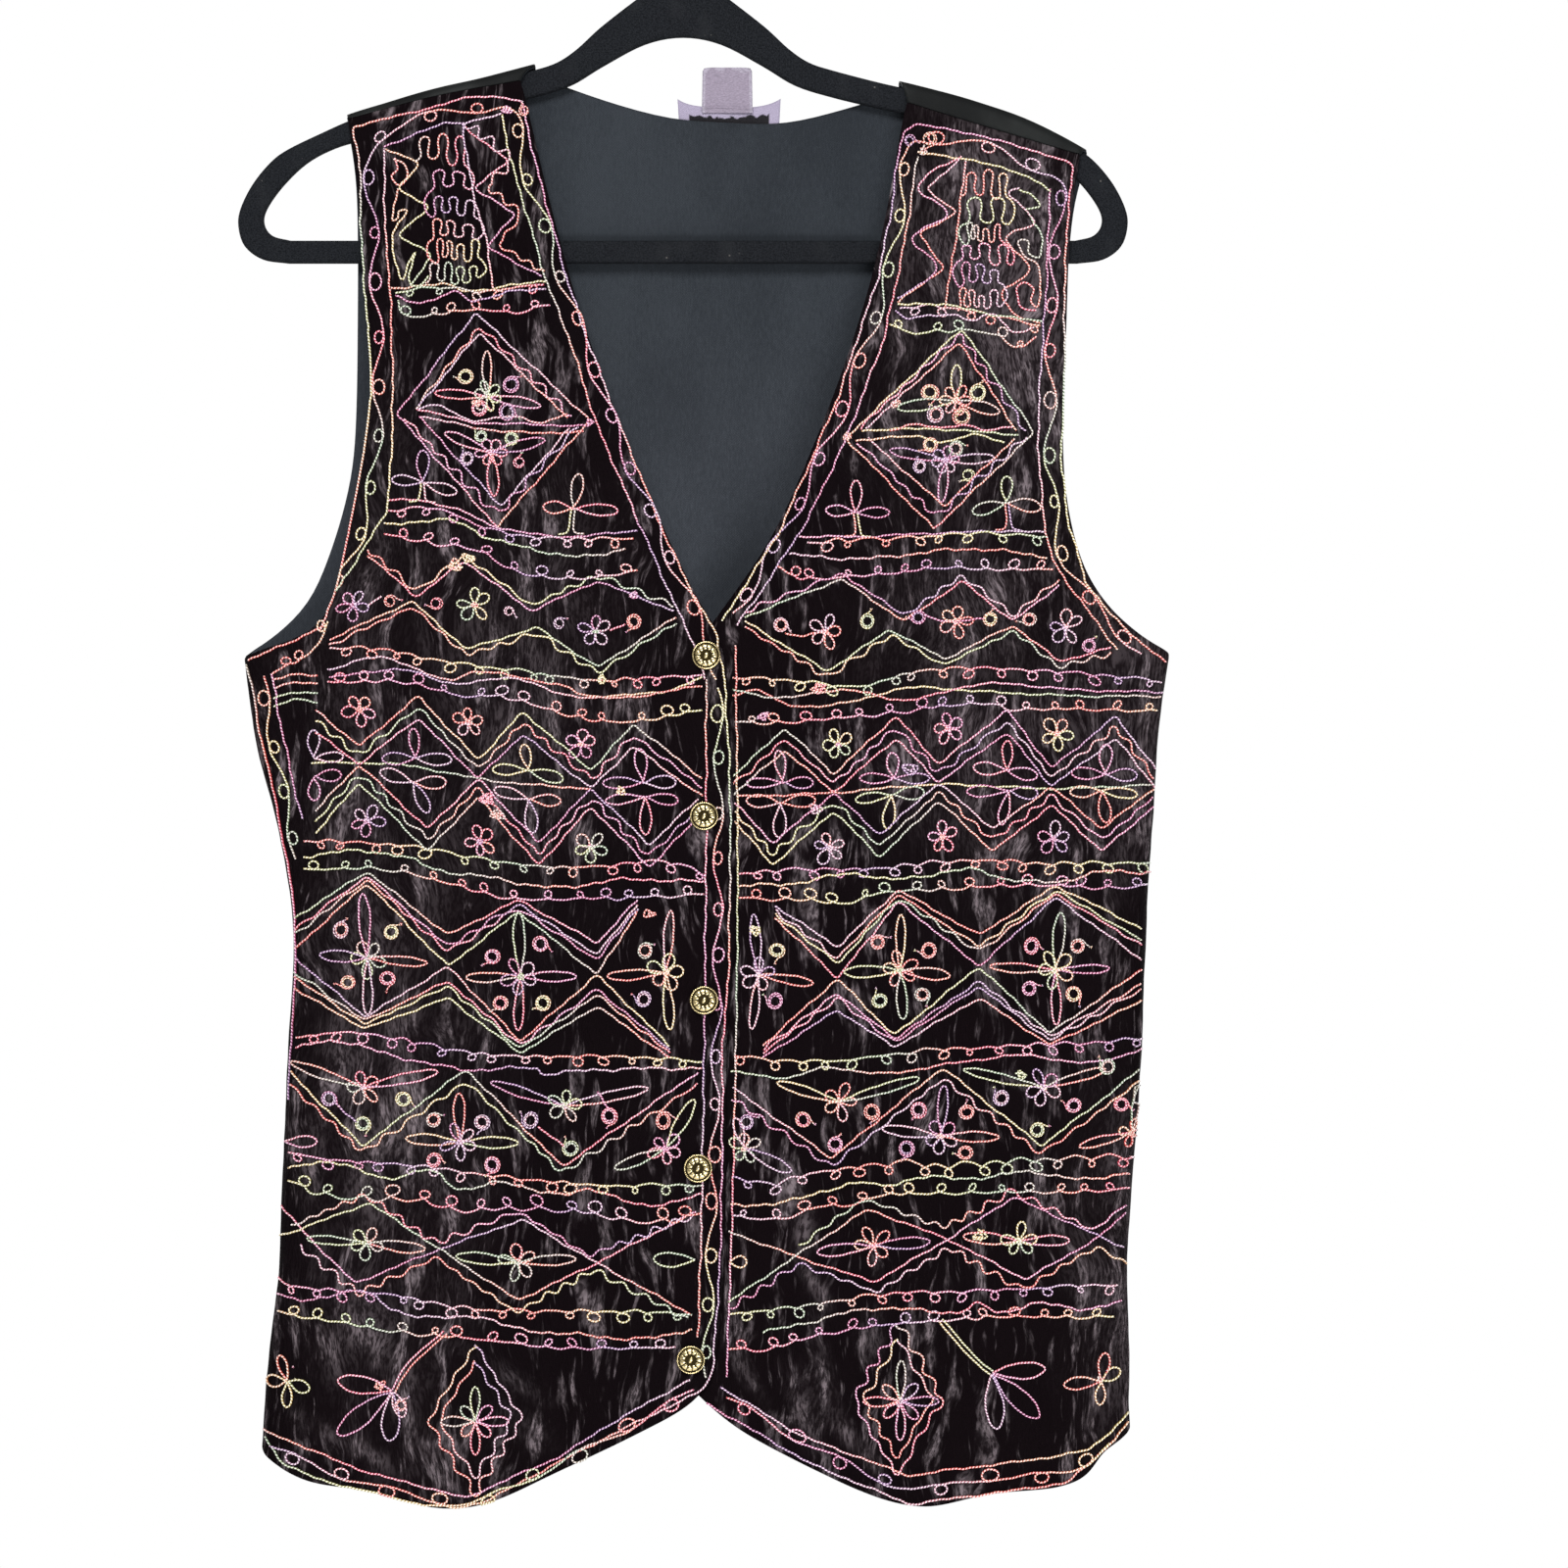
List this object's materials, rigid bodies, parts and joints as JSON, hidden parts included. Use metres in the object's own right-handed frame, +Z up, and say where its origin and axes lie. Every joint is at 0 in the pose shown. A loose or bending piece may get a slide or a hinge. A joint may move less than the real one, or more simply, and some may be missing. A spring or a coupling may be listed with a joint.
{
  "type": "embroidered vest on a clothes hanger",
  "caption": "Sleeveless velvet vest with a V neck, metal buttons, pointed tails and banded thread embroidery, hanging on a flat flocked hanger.",
  "frame": {"origin": "inner top of the hanger's hook, where it rests on a rod", "axes": "+Z up, front faces -Y, +X to the right of someone who looks at the front"},
  "size_m": [0.4654, 0.0499, 0.8563],
  "materials": {
    "velvet": "crushed velvet, black, satin sheen in vertical streaks",
    "back_cloth": "plain black cloth, slightly satiny",
    "lining_cloth": "matte plain weave, dark charcoal",
    "thread": "twisted rayon thread, variegated pink, coral, yellow-green, sage, purple",
    "label_weave": "woven label, black with lilac-grey edges, bare",
    "care_ribbon": "lilac-grey satin ribbon, bare",
    "gilt": "antique pale gold, dark in the hollows",
    "hanger_flock": "black flock, matte",
    "hook_steel": "polished wire"
  },
  "bodies": {
    "root": {"front_right": "velvet", "front_left": "velvet", "back": "back_cloth", "back_lining": "lining_cloth", "button_1": "gilt", "button_2": "gilt", "button_3": "gilt", "button_4": "gilt", "button_5": "gilt", "neck_label": "label_weave", "care_label": "care_ribbon", "hanger": "hanger_flock", "hook": "hook_steel"}
  },
  "joints": []
}
